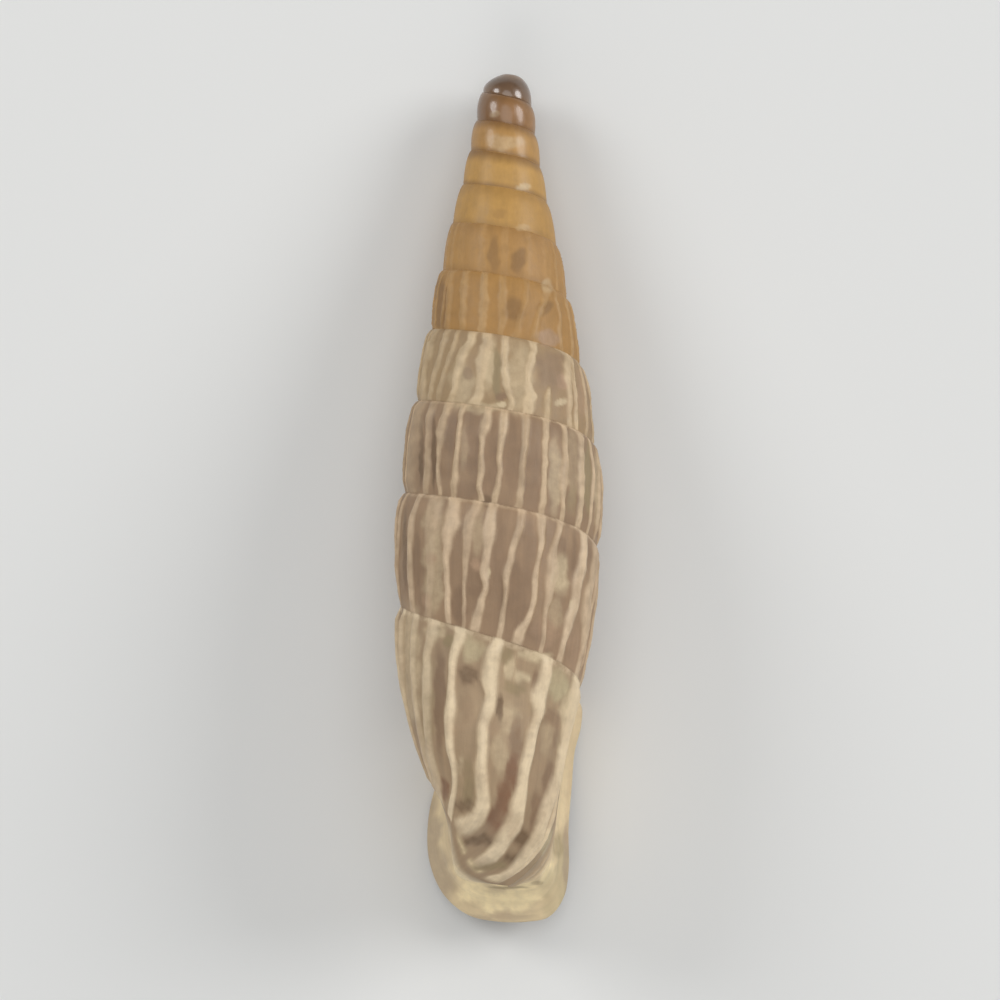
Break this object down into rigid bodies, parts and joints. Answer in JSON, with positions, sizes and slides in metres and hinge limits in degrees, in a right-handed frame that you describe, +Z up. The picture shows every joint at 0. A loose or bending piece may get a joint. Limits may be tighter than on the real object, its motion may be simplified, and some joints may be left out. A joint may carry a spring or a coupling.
{
  "type": "land snail shell",
  "caption": "Slender spindle-shaped snail shell, left-coiling, ribbed below and smooth towards the apex, with a flared lip round its open mouth, lying on its mouth side.",
  "frame": {"origin": "middle of the shell's box, on the surface that it lies on", "axes": "+Z up, +Y along the shell towards its apex, +X to the right of the shell as its back is seen from above"},
  "size_m": [0.0042, 0.017, 0.0045],
  "materials": {
    "shell": "natural shell lime: tan and glossy towards the apex, cream ribs over grey-brown below"
  },
  "bodies": {
    "root": {"shell": "shell"}
  },
  "joints": []
}
